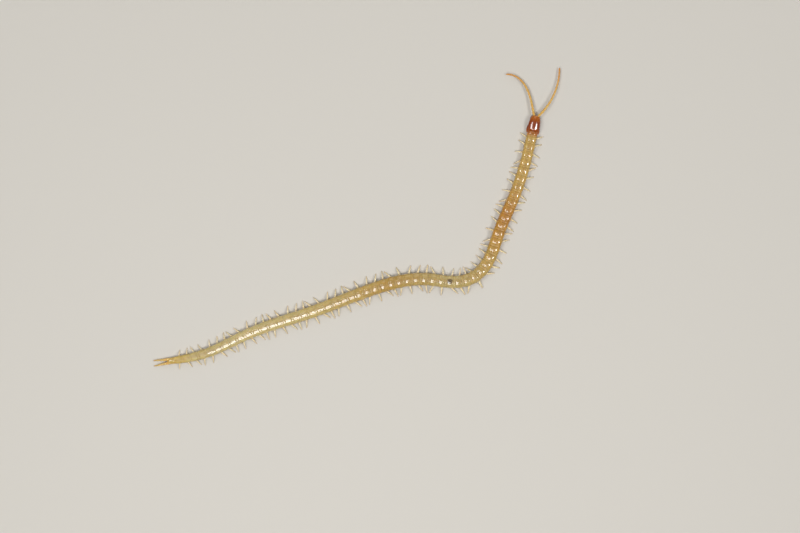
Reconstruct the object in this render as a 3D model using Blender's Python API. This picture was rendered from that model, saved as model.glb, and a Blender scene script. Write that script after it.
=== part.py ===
"""A soil centipede at life size, lying in a loose S on the floor, built as separate closed solids.

+Z is up, the floor is at z = 0, and the origin is the middle of the animal's outline on the floor. The
animal is modelled in millimetres and brought to metres at the end, because a union of pieces this small
comes out clean only at the larger scale. The body follows one route. "Along" is the distance behind the
front of the head, "left" is the distance to the animal's left of the route, and "up" is the height above
the floor.
"""

import math
import random

import bmesh
import bpy
import numpy as np
from mathutils import Matrix, Vector

METRES = 0.001  # a millimetre in metres
UP = Vector((0, 0, 1))
GAP = 0.15  # between nodes that touch in life: an eighth of the body's width

# The body's route on the floor, from the front of the head to the hind end.
ROUTE = [
    (17.97, 10.25), (17.26, 6.99), (16.01, 2.74), (14.13, -1.81), (13.13, -4.41), (11.58, -5.99), (9.88, -6.40),
    (7.18, -6.13), (1.98, -7.01), (-4.62, -9.47), (-10.82, -11.61), (-15.12, -13.56), (-18.88, -14.34),
]
ROUTE_STEPS = 1200
TANGENT_HALF = 0.25  # the route's direction is read this far to either side

# The head, ring by ring: along, half width, underside, top.
HEAD_RINGS = [
    (0.07, 0.35, 0.50, 0.71), (0.18, 0.43, 0.46, 0.80), (0.44, 0.52, 0.43, 0.87), (0.84, 0.59, 0.42, 0.885),
    (1.26, 0.60, 0.42, 0.86), (1.58, 0.49, 0.43, 0.82),
]
HEAD_FRONT = HEAD_RINGS[0][0]
HEAD_REAR = HEAD_RINGS[-1][0]
MOUTH_RINGS = [(0.14, 0.10, 0.44, 0.56), (0.32, 0.15, 0.385, 0.56), (0.62, 0.16, 0.385, 0.56), (0.86, 0.10, 0.40, 0.56)]
HEAD_SIDES = 14

# The segment of the poison claws: its plate on the back, and its broad plate under the head.
NECK_LENGTH = 0.27
NECK_HALF_WIDTHS = [0.49, 0.58, 0.53]
CLAW_PLATE_RINGS = [
    (0.74, 0.48, 0.10, 0.31), (1.06, 0.61, 0.09, 0.32), (1.46, 0.69, 0.09, 0.34), (1.74, 0.67, 0.09, 0.47),
    (1.90, 0.54, 0.11, 0.60),
]

# A poison claw: along, left and radius of its middle, from its root to its tip.
CLAW_PATH = [
    (0.57, 0.33, 0.125), (0.42, 0.375, 0.135), (0.25, 0.365, 0.12), (0.11, 0.29, 0.09), (0.05, 0.18, 0.055),
    (0.045, 0.085, 0.02),
]
CLAW_UP = 0.21
CLAW_SIDES = 8

# A feeler of fourteen articles, which turns away from the head's heading as it goes.
FEELER_LENGTH = 5.5
FEELER_ARTICLES = 14
FEELER_LEFT = 0.215
FEELER_ROOT_UP = 0.605
FEELER_TIP_UP = 0.30
FEELER_RADIUS = 0.20
FEELER_TIP_RADIUS = 0.095
FEELER_JOINT = 0.84  # an article's joint, as a share of its middle
FEELER_SIDES = 8
LEFT_FEELER_TURN = (22, 108, 2.5)  # degrees to the left at the root and at the tip, and how late it turns
RIGHT_FEELER_TURN = (-36, 12, 1.0)

# The trunk.
PAIRS_OF_LEGS = 57
TRUNK_START = HEAD_REAR + GAP + NECK_LENGTH
TRUNK_END = 49.45
SEGMENTS_IN_A_LENGTH = 5
LAST_SEGMENTS = 2  # in the last length
FIRST_SEGMENT_SHARES = [0.86, 0.92, 0.96]
LAST_SEGMENT_SHARES = [0.96, 0.90, 0.74]
HALF_WIDTHS = [  # along, half width
    (1.9, 0.53), (3.5, 0.54), (6.0, 0.56), (10.0, 0.59), (14.0, 0.60), (20.0, 0.61), (25.0, 0.635),
    (30.0, 0.615), (36.7, 0.585), (40.0, 0.555), (44.5, 0.50), (46.7, 0.445), (48.4, 0.375), (49.5, 0.29),
]
HEIGHT_OF_WIDTH = 0.66  # the trunk is flatter than it is wide
BELLY_UP = 0.13
GROOVE = 0.89  # the ring between two segments, as a share of the plates' ring
PLATE_FRONT = 0.15
PLATE_REAR = 0.90
# Half of the trunk's cross-section, from the back's middle to the belly, as shares of half width and height.
TRUNK_PROFILE = [(0.0, 1.0), (0.46, 0.96), (0.83, 0.80), (1.0, 0.50), (0.90, 0.21), (0.58, 0.03), (0.26, 0.0)]

# A leg, from inside the trunk's side to the claw: share of the reach beyond the side, height, radius.
LEG_REACH = 0.86
LEG_HIP = 0.8  # the share of the half width at which the leg swings
LEG_ROOT = (0.42, 0.36, 0.19)  # share of the half width, height, radius
LEG_RINGS = [(-0.03, 0.39, 0.235), (0.36, 0.41, 0.215), (0.70, 0.26, 0.14), (1.0, 0.09, 0.07), (1.0, 0.0, 0.05)]
LEG_SIDES = 5
SMALLEST_LEG = 0.35
FOOT_UP = LEG_RINGS[-2][1]
SWING_SPREAD = math.radians(5)
SEED = 57
# The wave of steps along each side, in segments and degrees: positive is swung back.
LEFT_WAVE = {"period": 4.94, "peak": 8.0, "back": 36, "ahead": -20, "sharpness": 2}
RIGHT_WAVE = {"period": 4.08, "peak": 6.54, "back": 19, "ahead": -37, "sharpness": 1}

# The last pair of legs, which trails beside the hind end: left, up and radius from root to tip.
LAST_LEG_LENGTH = 1.75
LAST_LEG_RINGS = [(0.165, 0.34, 0.13), (0.20, 0.34, 0.15), (0.24, 0.29, 0.14), (0.32, 0.22, 0.12), (0.42, 0.14, 0.09), (0.52, 0.05, 0.04)]
LEFT_LAST_LEG_SHIFT = -0.25  # how far the tip is drawn to the body's left
RIGHT_LAST_LEG_SHIFT = 0.25
LAST_LEG_SIDES = 7
HIND_END_RINGS = [(0.0, 0.11, 0.48, 0.61), (0.16, 0.095, 0.485, 0.60), (0.30, 0.045, 0.52, 0.575)]

COLOURS = {
    "trunk": (0.50, 0.29, 0.09),
    "head": (0.40, 0.08, 0.012),
    "claw": (0.33, 0.06, 0.01),
    "feeler": (0.55, 0.30, 0.09),
    "leg": (0.62, 0.44, 0.20),
}
ROUGHNESS = 0.28


def clear_scene():
    for old in list(bpy.data.objects):
        bpy.data.objects.remove(old)


def natural_cubic(knots, values, wanted):
    """A smooth curve through the values, read at the wanted places."""
    count = len(knots)
    step = np.diff(knots)
    slope = np.diff(values, axis=0) / step[:, None]
    system = np.eye(count)
    right = np.zeros_like(values)
    for k in range(1, count - 1):
        system[k, k - 1:k + 2] = step[k - 1], 2 * (step[k - 1] + step[k]), step[k]
        right[k] = 6 * (slope[k] - slope[k - 1])
    bend = np.linalg.solve(system, right)
    at = np.clip(np.searchsorted(knots, wanted, side="right") - 1, 0, count - 2)
    width = step[at][:, None]
    after = (wanted - knots[at])[:, None]
    before = width - after
    return (
        (bend[at] * before**3 + bend[at + 1] * after**3) / (6 * width)
        + (values[at] / width - bend[at] * width / 6) * before
        + (values[at + 1] / width - bend[at + 1] * width / 6) * after
    )


class Route:
    """The body's middle line on the floor, read by the distance along it."""

    def __init__(self):
        corners = np.array(ROUTE)
        knots = np.concatenate([[0], np.cumsum(np.hypot(*np.diff(corners, axis=0).T))])
        self.points = natural_cubic(knots, corners, np.linspace(0, knots[-1], ROUTE_STEPS))
        self.along = np.concatenate([[0], np.cumsum(np.hypot(*np.diff(self.points, axis=0).T))])
        self.length = self.along[-1]

    def on_line(self, along):
        return Vector([float(np.interp(along, self.along, self.points[:, k])) for k in (0, 1)] + [0.0])

    def backwards(self, along):
        """The direction towards the hind end."""
        low = min(max(along - TANGENT_HALF, 0.0), self.length - 2 * TANGENT_HALF)
        return (self.on_line(low + 2 * TANGENT_HALF) - self.on_line(low)).normalized()

    def at(self, along, left, up):
        """The place of a point along, to the left of and above the route, which runs straight on past its ends."""
        inside = min(max(along, 0.0), self.length)
        back = self.backwards(along)
        return self.on_line(inside) + back * (along - inside) + Vector((back.y, -back.x, 0)) * left + UP * up


route = Route()


def material(name):
    """The plain finish of one kind of skin."""
    if name in bpy.data.materials:
        return bpy.data.materials[name]
    made = bpy.data.materials.new(name)
    made.use_nodes = True
    shader = made.node_tree.nodes["Principled BSDF"]
    shader.inputs["Base Color"].default_value = (*COLOURS[name], 1)
    shader.inputs["Roughness"].default_value = ROUGHNESS
    shader.inputs["Metallic"].default_value = 0.0
    return made


def loft(name, rings, finish):
    """A closed solid through rings of points, with a flat face over the first and the last ring."""
    shape = bmesh.new()
    loops = [[shape.verts.new(point) for point in ring] for ring in rings]
    for near, far in zip(loops, loops[1:]):
        for k in range(len(near)):
            shape.faces.new((near[k - 1], near[k], far[k], far[k - 1]))
    for end in (loops[0], loops[-1]):
        shape.faces.new(end)
    bmesh.ops.triangulate(shape, faces=shape.faces)
    bmesh.ops.recalc_face_normals(shape, faces=shape.faces)
    mesh = bpy.data.meshes.new(name)
    shape.to_mesh(mesh)
    shape.free()
    mesh.materials.append(material(finish))
    made = bpy.data.objects.new(name, mesh)
    bpy.context.scene.collection.objects.link(made)
    return made


def join(base, others):
    """Fuses closed pieces into one solid with one union, and keeps the base's name."""
    group = bpy.data.collections.new(base.name + "_pieces")
    bpy.context.scene.collection.children.link(group)
    for other in others:
        bpy.context.scene.collection.objects.unlink(other)
        group.objects.link(other)
    union = base.modifiers.new("union", "BOOLEAN")
    union.operation = "UNION"
    union.operand_type = "COLLECTION"
    union.collection = group
    bpy.context.view_layer.objects.active = base
    bpy.ops.object.modifier_apply(modifier=union.name)
    for other in others:
        bpy.data.objects.remove(other)
    bpy.data.collections.remove(group)


def rounded_ring(along, half_width, bottom, top, sides=HEAD_SIDES, squareness=2.6):
    """A ring across the route: an ellipse at squareness 2, and squarer above it."""
    ring = []
    for k in range(sides):
        angle = 2 * math.pi * (k + 0.5) / sides
        across = math.copysign(abs(math.cos(angle)) ** (2 / squareness), math.cos(angle))
        rise = math.copysign(abs(math.sin(angle)) ** (2 / squareness), math.sin(angle))
        ring.append(route.at(along, half_width * across, (top + bottom) / 2 + (top - bottom) / 2 * rise))
    return ring


def tube_rings(path, radii, sides, first_facing=None, last_facing=None):
    """Rings round a path, whose end rings can be made to face a given way."""
    rings = []
    for k, (point, radius) in enumerate(zip(path, radii)):
        ahead = path[min(k + 1, len(path) - 1)] - path[max(k - 1, 0)]
        if k == 0 and first_facing:
            ahead = first_facing
        if k == len(path) - 1 and last_facing:
            ahead = last_facing
        ahead = ahead.normalized()
        side = (ahead if abs(ahead.z) < 0.9 else point - path[0]).cross(UP).normalized()
        rise = side.cross(ahead).normalized()
        angles = [2 * math.pi * (c + 0.5) / sides for c in range(sides)]
        rings.append([point + radius * (math.cos(a) * side + math.sin(a) * rise) for a in angles])
    return rings


def segment_ends():
    """The places along the route where the trunk's segments meet."""
    shares = [1.0] * PAIRS_OF_LEGS
    shares[:len(FIRST_SEGMENT_SHARES)] = FIRST_SEGMENT_SHARES
    shares[-len(LAST_SEGMENT_SHARES):] = LAST_SEGMENT_SHARES
    unit = (TRUNK_END - TRUNK_START) / sum(shares)
    return [TRUNK_START + unit * sum(shares[:k]) for k in range(PAIRS_OF_LEGS + 1)]


def half_width(along):
    return float(np.interp(along, *zip(*HALF_WIDTHS)))


def trunk_ring(along, share):
    """The trunk's cross-section at a place, at a share of its full size."""
    wide = half_width(along)
    tall = 2 * wide * HEIGHT_OF_WIDTH
    middle = BELLY_UP + tall / 2
    half = [(x * wide * share, middle + (y - 0.5) * tall * share) for x, y in TRUNK_PROFILE]
    outline = half + [(-left, up) for left, up in reversed(half[1:])]
    return [route.at(along, left, up) for left, up in outline]


def trunk_length(name, ends):
    """A length of the trunk: a raised plate for each segment, with a groove before the next."""
    rings = [trunk_ring(ends[0] + GAP / 2, GROOVE)]
    for front, rear in zip(ends, ends[1:]):
        for place in (PLATE_FRONT, PLATE_REAR):
            rings.append(trunk_ring(front + place * (rear - front), 1.0))
        rings.append(trunk_ring(rear - (GAP / 2 if rear == ends[-1] else 0), GROOVE))
    return loft(name, rings, "trunk")


def swing(index, wave, draw):
    """How far a leg is swung back from straight out, in the wave of steps that runs along its side."""
    phase = 0.5 + 0.5 * math.cos(2 * math.pi * (index - wave["peak"]) / wave["period"])
    turn = wave["ahead"] + (wave["back"] - wave["ahead"]) * phase ** wave["sharpness"]
    return math.radians(turn) + draw.uniform(-SWING_SPREAD, SWING_SPREAD)


def leg(along, side, turn):
    """One walking leg, from inside the trunk's side to a small flat foot on the floor."""
    wide = half_width(along)
    size = SMALLEST_LEG + (1 - SMALLEST_LEG) * wide / max(w for _, w in HALF_WIDTHS)
    share, up, radius = LEG_ROOT
    path = [route.at(along, side * share * wide, up * size)]
    radii = [radius * size]
    for share, up, radius in LEG_RINGS:
        swung = wide * (1 - LEG_HIP) + share * LEG_REACH * size
        left = wide * LEG_HIP + swung * math.cos(turn)
        path.append(route.at(along + swung * math.sin(turn), side * left, up * (size if up > FOOT_UP else 1)))
        radii.append(radius * size)
    return loft("leg", tube_rings(path, radii, LEG_SIDES, last_facing=-UP), "leg")


def make_trunk():
    """The trunk in lengths, each with its own legs fused to it. The last segment's legs are nodes of their own."""
    draw = random.Random(SEED)
    ends = segment_ends()
    starts = list(range(0, PAIRS_OF_LEGS - LAST_SEGMENTS, SEGMENTS_IN_A_LENGTH)) + [PAIRS_OF_LEGS - LAST_SEGMENTS]
    for number, (first, after) in enumerate(zip(starts, starts[1:] + [PAIRS_OF_LEGS]), 1):
        base = trunk_length(f"trunk_{number:02d}", ends[first:after + 1])
        legs = []
        for k in range(first, min(after, PAIRS_OF_LEGS - 1)):
            middle = (ends[k] + ends[k + 1]) / 2
            legs.append(leg(middle, 1, swing(k, LEFT_WAVE, draw)))
            legs.append(leg(middle, -1, swing(k, RIGHT_WAVE, draw)))
        join(base, legs)


def make_head():
    """The flattened head, with the mouthparts fused under its front."""
    head = loft("head", [rounded_ring(*ring) for ring in HEAD_RINGS], "head")
    join(head, [loft("mouthparts", [rounded_ring(*ring, sides=8) for ring in MOUTH_RINGS], "head")])


def make_claw_segment():
    """The segment behind the head, whose broad belly plate runs forward under the head to the poison claws."""
    top = BELLY_UP + 2 * half_width(TRUNK_START) * HEIGHT_OF_WIDTH
    rear = TRUNK_START - GAP / 2
    places = np.linspace(HEAD_REAR + GAP, rear, len(NECK_HALF_WIDTHS))
    rings = [rounded_ring(float(a), w, BELLY_UP, top) for a, w in zip(places, NECK_HALF_WIDTHS)]
    neck = loft("claw_segment", rings, "head")
    rings = [rounded_ring(min(a, rear - GAP / 2), *ring) for a, *ring in CLAW_PLATE_RINGS]
    join(neck, [loft("belly_plate", rings, "head")])


def make_poison_claw(name, side):
    """A curved, tapering claw under the side of the head, its tip close to the other's."""
    path = [route.at(along, side * left, CLAW_UP) for along, left, radius in CLAW_PATH]
    radii = [radius for along, left, radius in CLAW_PATH]
    loft(name, tube_rings(path, radii, CLAW_SIDES, first_facing=-route.backwards(0)), "claw")


def make_feeler(name, side, turn):
    """A feeler that leaves the head's front and turns as it goes, thicker in each article's middle."""
    ahead = -route.backwards(0)
    heading = math.atan2(ahead.y, ahead.x)
    count = 2 * FEELER_ARTICLES
    path = [route.at(HEAD_FRONT - GAP, side * FEELER_LEFT, FEELER_ROOT_UP)]
    radii = [FEELER_RADIUS * FEELER_JOINT]
    at_root, at_tip, lateness = turn
    for k in range(1, count + 1):
        angle = heading + math.radians(at_root + (at_tip - at_root) * ((k - 0.5) / count) ** lateness)
        point = path[-1] + Vector((math.cos(angle), math.sin(angle), 0)) * (FEELER_LENGTH / count)
        point.z = FEELER_ROOT_UP + (FEELER_TIP_UP - FEELER_ROOT_UP) * k / count
        path.append(point)
        radii.append((FEELER_RADIUS + (FEELER_TIP_RADIUS - FEELER_RADIUS) * k / count) * (1 if k % 2 else FEELER_JOINT))
    radii[-1] = FEELER_TIP_RADIUS / 2
    loft(name, tube_rings(path, radii, FEELER_SIDES, first_facing=ahead), "feeler")


def make_last_leg(name, side, shift):
    """One leg of the last pair, trailing straight back from the last segment."""
    start = TRUNK_END + GAP / 2
    path = []
    for k, (left, up, radius) in enumerate(LAST_LEG_RINGS):
        share = k / (len(LAST_LEG_RINGS) - 1)
        path.append(route.at(start + share * LAST_LEG_LENGTH, side * left + shift * share**2, up))
    radii = [radius for left, up, radius in LAST_LEG_RINGS]
    loft(name, tube_rings(path, radii, LAST_LEG_SIDES, first_facing=route.backwards(start)), "leg")


def make_hind_end():
    """The small blunt end piece above and between the last legs."""
    start = TRUNK_END + GAP / 2
    loft("hind_end", [rounded_ring(start + after, *ring, sides=8) for after, *ring in HIND_END_RINGS], "trunk")


def finish(solid):
    """Brings a solid to metres and shades its round sides smooth."""
    solid.data.transform(Matrix.Scale(METRES, 4))
    solid.data.shade_smooth()
    solid.data.set_sharp_from_angle(angle=math.radians(35))


def make_centipede():
    clear_scene()
    make_head()
    make_claw_segment()
    make_poison_claw("poison_claw_left", 1)
    make_poison_claw("poison_claw_right", -1)
    make_feeler("feeler_left", 1, LEFT_FEELER_TURN)
    make_feeler("feeler_right", -1, RIGHT_FEELER_TURN)
    make_trunk()
    make_last_leg("last_leg_left", 1, LEFT_LAST_LEG_SHIFT)
    make_last_leg("last_leg_right", -1, RIGHT_LAST_LEG_SHIFT)
    make_hind_end()
    for solid in bpy.context.scene.objects:
        finish(solid)


make_centipede()
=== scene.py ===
"""The looks of a soil centipede at life size, modelled round the fixed frame.

The animal is modelled in millimetres, straight, and laid along the body's route at the end. In the straight
body X is the distance to the animal's left, Y the distance behind the front of the head and Z the height
above the floor. A plate of the trunk is modelled flatter still: X is the distance round the body from the
middle of the back, and Z the height above the skin. What repeats on every segment is modelled once, on a
segment of the usual size, and copied to each. A form that is drawn out is described by its rings.
"""

import contextlib
import math
import random

import bmesh
import bpy
import numpy as np
from mathutils import Matrix, Vector


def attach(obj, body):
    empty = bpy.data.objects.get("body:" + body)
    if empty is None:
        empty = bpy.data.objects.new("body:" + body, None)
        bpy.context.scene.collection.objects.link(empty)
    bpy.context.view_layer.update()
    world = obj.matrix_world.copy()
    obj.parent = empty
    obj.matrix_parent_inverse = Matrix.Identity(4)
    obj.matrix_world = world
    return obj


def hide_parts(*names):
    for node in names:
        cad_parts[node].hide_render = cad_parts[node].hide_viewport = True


METRES = 0.001  # a millimetre in metres
SIDES = {"left": 1, "right": -1}
PHOTO_WIDTH, PHOTO_HEIGHT = 800, 533
PIXELS_TO_MM = 0.1
PHOTO_ORIGIN = (356.2, 217.9)  # the pixel where the frame's origin lies
SEED = 57

# The body's route on the floor, from the front of the head to the hind end.
ROUTE = [
    (17.97, 10.25), (17.26, 6.99), (16.01, 2.74), (14.13, -1.81), (13.13, -4.41), (11.58, -5.99),
    (9.88, -6.40), (7.18, -6.13), (1.98, -7.01), (-4.62, -9.47), (-10.82, -11.61), (-15.12, -13.56),
    (-18.88, -14.34),
]
ROUTE_STEPS = 1200
LINE_STEPS = 60
TANGENT_HALF = 0.25

# The segments: the poison claws' segment first, then one for each pair of legs.
PAIRS_OF_LEGS = 57
NECK_START = 1.64
TRUNK_START, TRUNK_END = 2.00, 49.45
FIRST_SHARES = [0.86, 0.92, 0.96]
LAST_SHARES = [0.96, 0.90, 0.74]
HALF_WIDTHS = [  # along, half width
    (1.6, 0.50), (1.9, 0.53), (3.5, 0.54), (6.0, 0.56), (10.0, 0.59), (14.0, 0.60), (20.0, 0.61),
    (25.0, 0.635), (30.0, 0.615), (36.7, 0.585), (40.0, 0.555), (44.5, 0.50), (46.7, 0.445), (48.4, 0.375),
    (49.5, 0.29),
]
BELLY_UP = 0.13

# A segment of the usual size, across and along.
HALF = 0.61
TALL = 2 * HALF * 0.66
PITCH = 0.84
BACK_SQUARENESS, BELLY_SQUARENESS = 2.35, 2.8

# The skin between the plates.
SKIN_COLUMNS, SKIN_ROWS = 44, 12
SKIN_SINK, JOINT_SINK = 0.006, 0.006
SKIN_FOLDS = (0.93, 1.08, 1.28)  # how far round the body the folds along its sides lie
FOLD_SINK = 0.02
WELD = 0.0005  # how near two segments' edges lie to become one

# Plates, in distances round and along the usual segment. A narrowing is the share left of an edge's width.
PLATE_THICKNESS = 0.045
PLATE_UNEVENNESS = 0.004
RIM_CREASE = 0.5
BACK_PLATE = BACK_HALF, BACK_FRONT, BACK_REAR = 0.86, 0.21, 0.84
BACK_NARROWING = 0.94
BACK_SIDE_SINK, BACK_REAR_LIFT = 0.003, 0.002
FURROW_LEFT = BACK_HALF / 6
FURROW_MARGIN, FURROW_WIDTH, FURROW_DEPTH = 0.02, 0.018, 0.010
BACK_DOME = 0.022
DOMES = [(0.0, 8.5, BACK_DOME), (8.5, 29.5, 0.030)]  # from, to, height of the back plates
WET_STRETCH = (29.5, 45.5)  # where the back plates lie flat, and the wet back shines as one band
WET_DOME = 0.0
FRONT_PLATE = (0.74, 0.02, 0.20)  # half width, front, rear
FRONT_PLATE_NARROWING = 0.88
DRY_FRONT_PLATE = (0.004, 0.003)  # its dome's height, and how far it is sunk
WET_FRONT_PLATE = (0.001, 0.0)
BELLY_PLATE = (0.40, 0.19, 0.79)  # half width, front, rear
BELLY_DOME, BELLY_NARROWING = 0.014, 0.9
PIT_HALF, PIT_FRONT, PIT_REAR = 0.14, 0.5, 0.7
PIT_RIM, PIT_DEPTH = 0.03, 0.012
FRONT_BELLY_PLATE = (0.30, 0.05, 0.17)  # half width, front, rear
FRONT_BELLY_DOME = 0.008
SIDE_PLATES = [  # middle and half width round the body, front, rear
    (1.00, 0.075, 0.14, 0.42), (1.00, 0.085, 0.45, 0.78), (1.17, 0.07, 0.24, 0.70),
]
SIDE_DOME, SIDE_NARROWING = 0.018, 0.7
PORE_ROUND, PORE_ALONG, PORE_UP = 1.00, 0.29, 0.014
PORE_RADIUS, PORE_RIM = 0.034, 0.012
NECK_PLATE = (0.72, 0.10, 0.84)  # half width, front, rear
NECK_DOME, NECK_NARROWING = 0.012, 0.86
LAST_PLATE_SHAPE = [  # along, half width
    (0.19, 0.74), (0.34, 0.84), (0.50, 0.78), (0.66, 0.62), (0.80, 0.42), (0.90, 0.20),
]

# Hairs: how long they are, and the rows that they stand in, with how many in each.
HAIR_RADIUS = 0.0055
PLATE_HAIR = (0.05, 0.08)
LIMB_HAIR = (0.07, 0.12)
BACK_HAIR_ROWS = [(BACK_FRONT + 0.14, 6), (BACK_REAR - 0.10, 8)]
BELLY_HAIR_ROWS = [(BELLY_PLATE[1] + 0.1, 4), (BELLY_PLATE[2] - 0.1, 4)]
HEAD_HAIR_ROWS = [(0.16, 6), (0.42, 5), (0.66, 6), (0.92, 5), (1.16, 6), (1.32, 5)]

# A leg, straight: the articles' far ends and their thickest radii.
LEG_ARTICLES = [(0.14, 0.140), (0.22, 0.108), (0.50, 0.100), (0.73, 0.085), (0.97, 0.068), (1.27, 0.047)]
LEG_LENGTH = 1.38
LEG_SIDES = 10
LEG_REACH = 0.86
LEG_HIP = 0.8  # the share of the body's half width at which a leg starts to swing
SMALLEST_LEG = 0.35
SWING_SPREAD = math.radians(5)
WAVES = {
    "left": {"period": 4.94, "peak": 8.0, "back": 36, "ahead": -20, "sharpness": 2},
    "right": {"period": 4.08, "peak": 6.54, "back": 19, "ahead": -37, "sharpness": 1},
}
# The leg's middle line: out from the body's side in shares of the reach, and up.
LEG_LINE = [(-0.32, 0.25), (-0.04, 0.34), (0.26, 0.37), (0.60, 0.27), (0.87, 0.11), (1.0, 0.0)]

# How an article swells and ends in a joint, and the claw behind the last one.
ROOT_STATIONS = [(0.0, 0.55), (0.03, 0.85)]  # along, share of the first article's radius
SWELLING = [(0.12, 0.90), (0.45, 1.0)]  # share of the article's run, share of its radius
JOINT = [(0.030, 0.95), (0.008, 0.84), (0.0, 0.76)]  # distance before the article's end, share of its radius
TARSAL_CLAW_ROOT = (0.016, 0.018)  # along, radius
TARSAL_CLAW = [(0.4, 0.015), (0.75, 0.009), (1.0, 0.002)]  # share of the claw's length, radius

# The legs of the last pair, and the swollen hips that they stand on.
LAST_LEG_ARTICLES = [
    (0.16, 0.150), (0.42, 0.150), (0.74, 0.135), (1.06, 0.115), (1.36, 0.088), (1.68, 0.062),
]
LAST_LEG_LENGTH = 1.82
LAST_LEG_START = 0.12  # how far before the trunk's end it starts
LAST_LEG_LINE = [  # left, up
    (0.17, 0.36), (0.20, 0.34), (0.24, 0.29), (0.32, 0.22), (0.42, 0.14), (0.52, 0.04),
]
LAST_LEG_SHIFT = 0.25  # how far its tip is drawn in
RUMP_RINGS = [  # along, half width, underside and top
    (48.62, 0.07, 0.20, 0.40), (48.80, 0.125, 0.15, 0.46), (49.10, 0.15, 0.13, 0.50),
    (49.40, 0.14, 0.16, 0.50), (49.55, 0.08, 0.24, 0.44),
]
RUMP_LEFT = 0.17
HIND_RINGS = [
    (49.20, 0.13, 0.22, 0.46), (49.42, 0.135, 0.24, 0.50), (49.56, 0.10, 0.28, 0.505),
    (49.68, 0.045, 0.33, 0.47),
]

# The feelers. A turn is the angle at the root and at the tip, and how late the feeler turns.
FEELER_LENGTH = 5.5
FEELER_ARTICLES = 14
FEELER_START = 0.11
FEELER_LEFT = 0.205
FEELER_ROOT_UP, FEELER_TIP_UP = 0.60, 0.30
FEELER_RADIUS, FEELER_TIP_RADIUS = 0.135, 0.085
FEELER_SIDES = 12
FEELER_STEPS = 140
FEELER_TURNS = {"left": (22, 108, 2.5), "right": (-36, 12, 1.0)}
FEELER_ARTICLE = [  # share of the article's run, share of its radius
    (0.0, 0.62), (0.04, 0.74), (0.22, 0.86), (0.62, 0.98), (0.86, 1.0), (0.96, 0.86),
]
LAST_FEELER_ARTICLE = [
    (0.0, 0.60), (0.05, 0.76), (0.25, 0.95), (0.55, 0.95), (0.80, 0.74), (0.94, 0.42), (1.0, 0.12),
]
SOCKET_RADIUS, SOCKET_RIM = 0.098, 0.026
SOCKET_LEFT, SOCKET_ALONG, SOCKET_UP = FEELER_LEFT + 0.005, 0.085, FEELER_ROOT_UP - 0.005
SOCKET_TURN = 0.30

# The head, in the straight body. Its rings are along, half width, underside and top.
HEAD_SHAPE = [  # along, half width of the plate on top, its height in the middle
    (0.06, 0.26, 0.71), (0.12, 0.37, 0.770), (0.25, 0.45, 0.838), (0.45, 0.52, 0.882), (0.68, 0.57, 0.887),
    (0.94, 0.60, 0.875), (1.20, 0.605, 0.861), (1.40, 0.585, 0.850), (1.54, 0.53, 0.840), (1.61, 0.45, 0.800),
]
HEAD_COLUMNS = 12
HEAD_FALL = [0, 0.006, 0.023, 0.052, 0.090, 0.143, 0.238]  # from the plate's middle out to its edge
HEAD_END_NARROWING = 0.8
HEAD_PLATE_THICKNESS = 0.05
CROSS_FURROW_ROW, CROSS_FURROW_DEPTH = 3, 0.020
REAR_FURROW_LEFT, REAR_FURROW_WIDTH, REAR_FURROW_DEPTH = 0.19, 0.05, 0.010
REAR_FURROW_FRONT, REAR_FURROW_REAR = 1.25, 1.56
CAPSULE_RINGS = [
    (0.08, 0.31, 0.49, 0.65), (0.17, 0.39, 0.46, 0.71), (0.42, 0.48, 0.42, 0.76), (0.86, 0.55, 0.40, 0.80),
    (1.28, 0.555, 0.38, 0.80), (1.60, 0.46, 0.36, 0.77),
]
LIP_RINGS = [
    (0.05, 0.15, 0.45, 0.56), (0.11, 0.24, 0.43, 0.60), (0.22, 0.30, 0.42, 0.60), (0.32, 0.29, 0.40, 0.56),
]
MAXILLA_RINGS = [
    (0.22, 0.16, 0.34, 0.44), (0.34, 0.28, 0.31, 0.46), (0.56, 0.36, 0.29, 0.46), (0.72, 0.34, 0.28, 0.44),
]
PALPS = [(0.12, 0.36, 0.055, 0.14), (0.27, 0.35, 0.062, 0.10)]  # left, height, radius, front
PALP_RINGS = [  # along, share of the radius, half height
    (0.0, 0.25, 0.015), (0.06, 0.75, 0.045), (0.13, 0.8, 0.05), (0.15, 0.7, 0.042), (0.22, 1.0, 0.055),
    (0.34, 1.0, 0.06),
]
PALP_SIDES = 10
CLAW_PLATE_RINGS = [
    (0.62, 0.30, 0.12, 0.30), (0.76, 0.48, 0.10, 0.33), (1.06, 0.61, 0.09, 0.36), (1.44, 0.69, 0.09, 0.42),
    (1.74, 0.675, 0.09, 0.50), (1.98, 0.53, 0.11, 0.58),
]
CLAW_PLATE_SIDES = 20
NOTCH_HALF, NOTCH_FRONT, NOTCH_DEPTH = 0.12, 0.65, 0.08
SEAM_REAR, SEAM_UP, SEAM_WIDTH, SEAM_DEPTH = 1.65, 0.25, 0.026, 0.050
CLAW_LINE = [  # along, left, up of a poison claw's middle line
    (0.84, 0.26, 0.24), (0.70, 0.32, 0.23), (0.57, 0.355, 0.22), (0.42, 0.385, 0.21), (0.26, 0.375, 0.20),
    (0.12, 0.305, 0.19), (0.04, 0.20, 0.19), (0.02, 0.08, 0.19),
]
CLAW_STATIONS = [  # share of the claw's length, radius
    (0.0, 0.125), (0.10, 0.150), (0.26, 0.160), (0.40, 0.150), (0.42, 0.128), (0.44, 0.142), (0.49, 0.138),
    (0.505, 0.118), (0.52, 0.130), (0.57, 0.124), (0.585, 0.104), (0.60, 0.112), (0.70, 0.088), (0.80, 0.062),
    (0.90, 0.036), (0.97, 0.014), (1.0, 0.004),
]
CLAW_SIDES = 14
CLAW_FLATNESS = 0.82

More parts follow.
